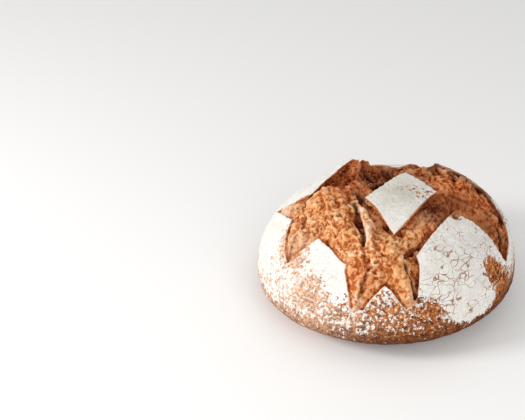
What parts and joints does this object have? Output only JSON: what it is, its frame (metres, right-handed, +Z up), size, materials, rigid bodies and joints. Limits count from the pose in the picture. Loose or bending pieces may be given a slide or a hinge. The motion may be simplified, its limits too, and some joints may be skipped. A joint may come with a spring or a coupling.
{
  "type": "sourdough loaf",
  "caption": "Round sourdough loaf with a floured brown crust, scored so that a raised square stands between torn, craggy openings; free-standing on its flat base.",
  "frame": {"origin": "middle of the flat base, on the surface the loaf stands on", "axes": "+Z up from the base to the crown; -Y faces the viewer of the shown side; +X to that viewer's right"},
  "size_m": [0.2285, 0.2283, 0.1047],
  "materials": {
    "crust": null
  },
  "bodies": {
    "root": {"loaf": "crust"}
  },
  "joints": []
}
